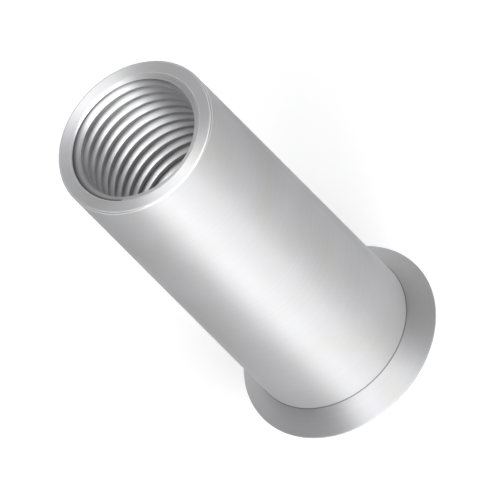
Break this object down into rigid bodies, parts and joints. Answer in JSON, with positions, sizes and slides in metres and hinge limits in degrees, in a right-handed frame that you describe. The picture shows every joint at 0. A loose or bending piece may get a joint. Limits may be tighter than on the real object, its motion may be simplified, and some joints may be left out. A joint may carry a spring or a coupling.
{
  "type": "rivet nut",
  "caption": "One-piece countersunk-head rivet nut: a plain round shank with an internal fine thread at its far end and a thin plain bore behind the head that folds when the nut is set.",
  "frame": {"origin": "centre of the flat head face, on the axis", "axes": "+Z along the axis, from the head to the threaded end"},
  "size_m": [0.015, 0.015, 0.0305],
  "materials": {
    "zinc_plated_steel": "satin clear zinc plating over turned low-carbon steel"
  },
  "bodies": {
    "root": {"rivet_nut": "zinc_plated_steel"}
  },
  "joints": []
}
